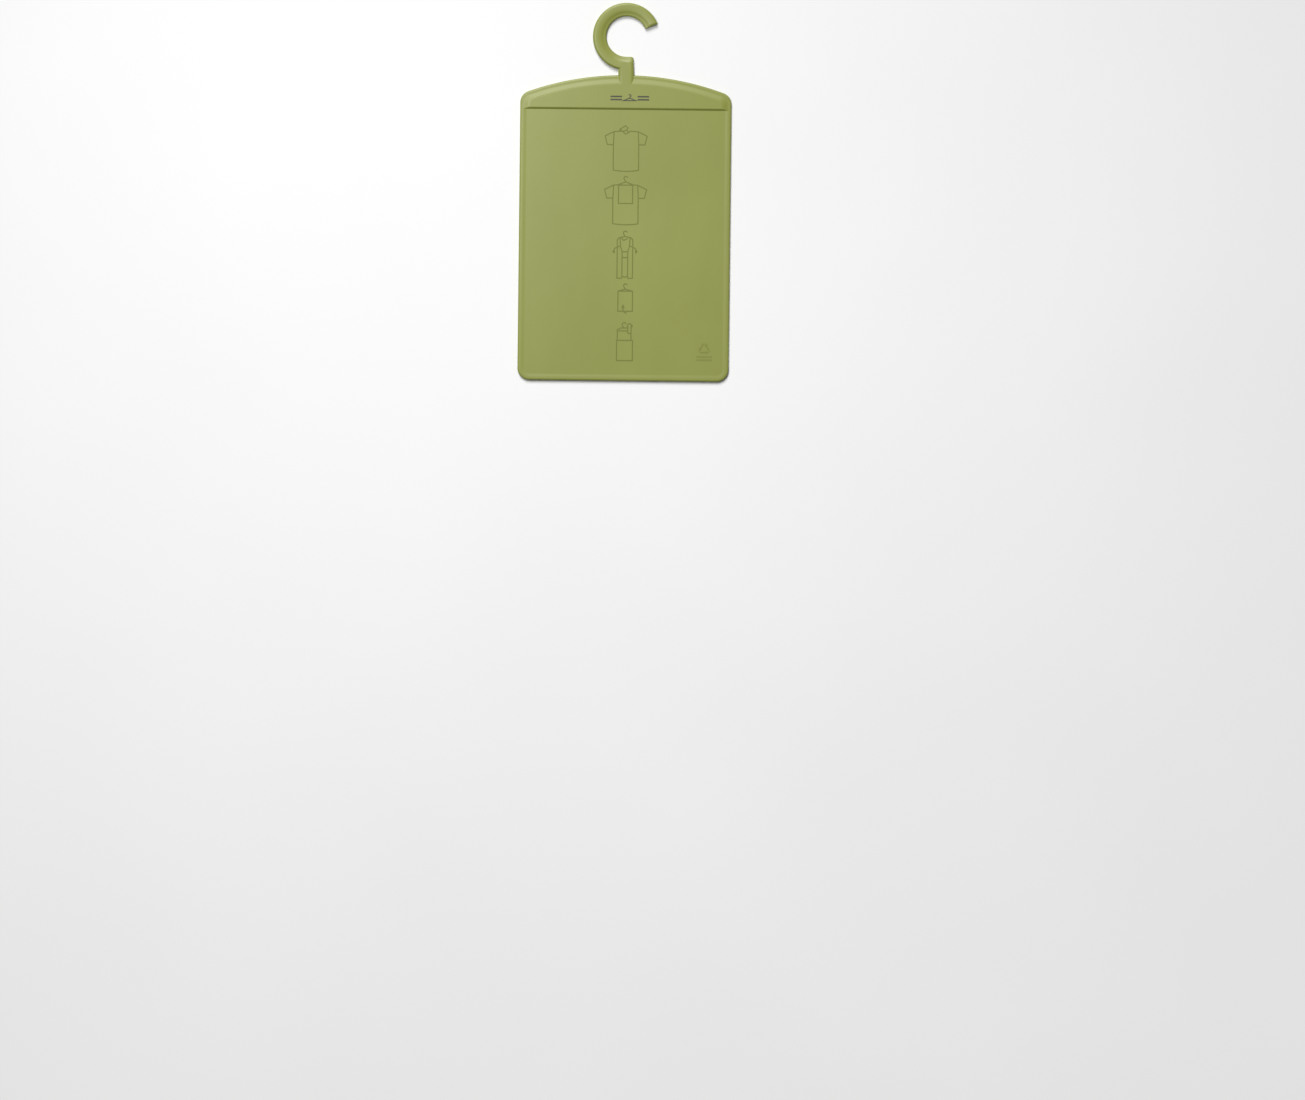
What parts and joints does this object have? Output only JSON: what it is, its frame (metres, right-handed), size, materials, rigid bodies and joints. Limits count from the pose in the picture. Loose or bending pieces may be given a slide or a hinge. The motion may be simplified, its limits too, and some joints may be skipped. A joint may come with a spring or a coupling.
{
  "type": "shirt folding board",
  "caption": "Flat rounded folding board with a raised head and a hanging hook, used as a former for folding shirts.",
  "frame": {"origin": "in the plane of the back, under the middle of the whole part's outline", "axes": "+Z out of the front face, +Y from the bottom edge towards the hook, +X to the side that the hook opens to"},
  "size_m": [0.2184, 0.391, 0.0049],
  "materials": {
    "board_plastic": "moulded polypropylene with a fine satin grain",
    "green_ink": "thin pad-printed ink, a darker green than the board",
    "grey_ink": "thin pad-printed dark grey ink"
  },
  "bodies": {
    "root": {"panel": "board_plastic", "head_cap": "board_plastic", "hook": "board_plastic", "drawing_1_shirt_face_down": "green_ink", "drawing_2_board_on_shirt": "green_ink", "drawing_3_sides_folded": "green_ink", "drawing_4_hem_folded_up": "green_ink", "drawing_5_folded_shirt": "green_ink", "head_mark": "grey_ink", "material_mark": "green_ink"}
  },
  "joints": []
}
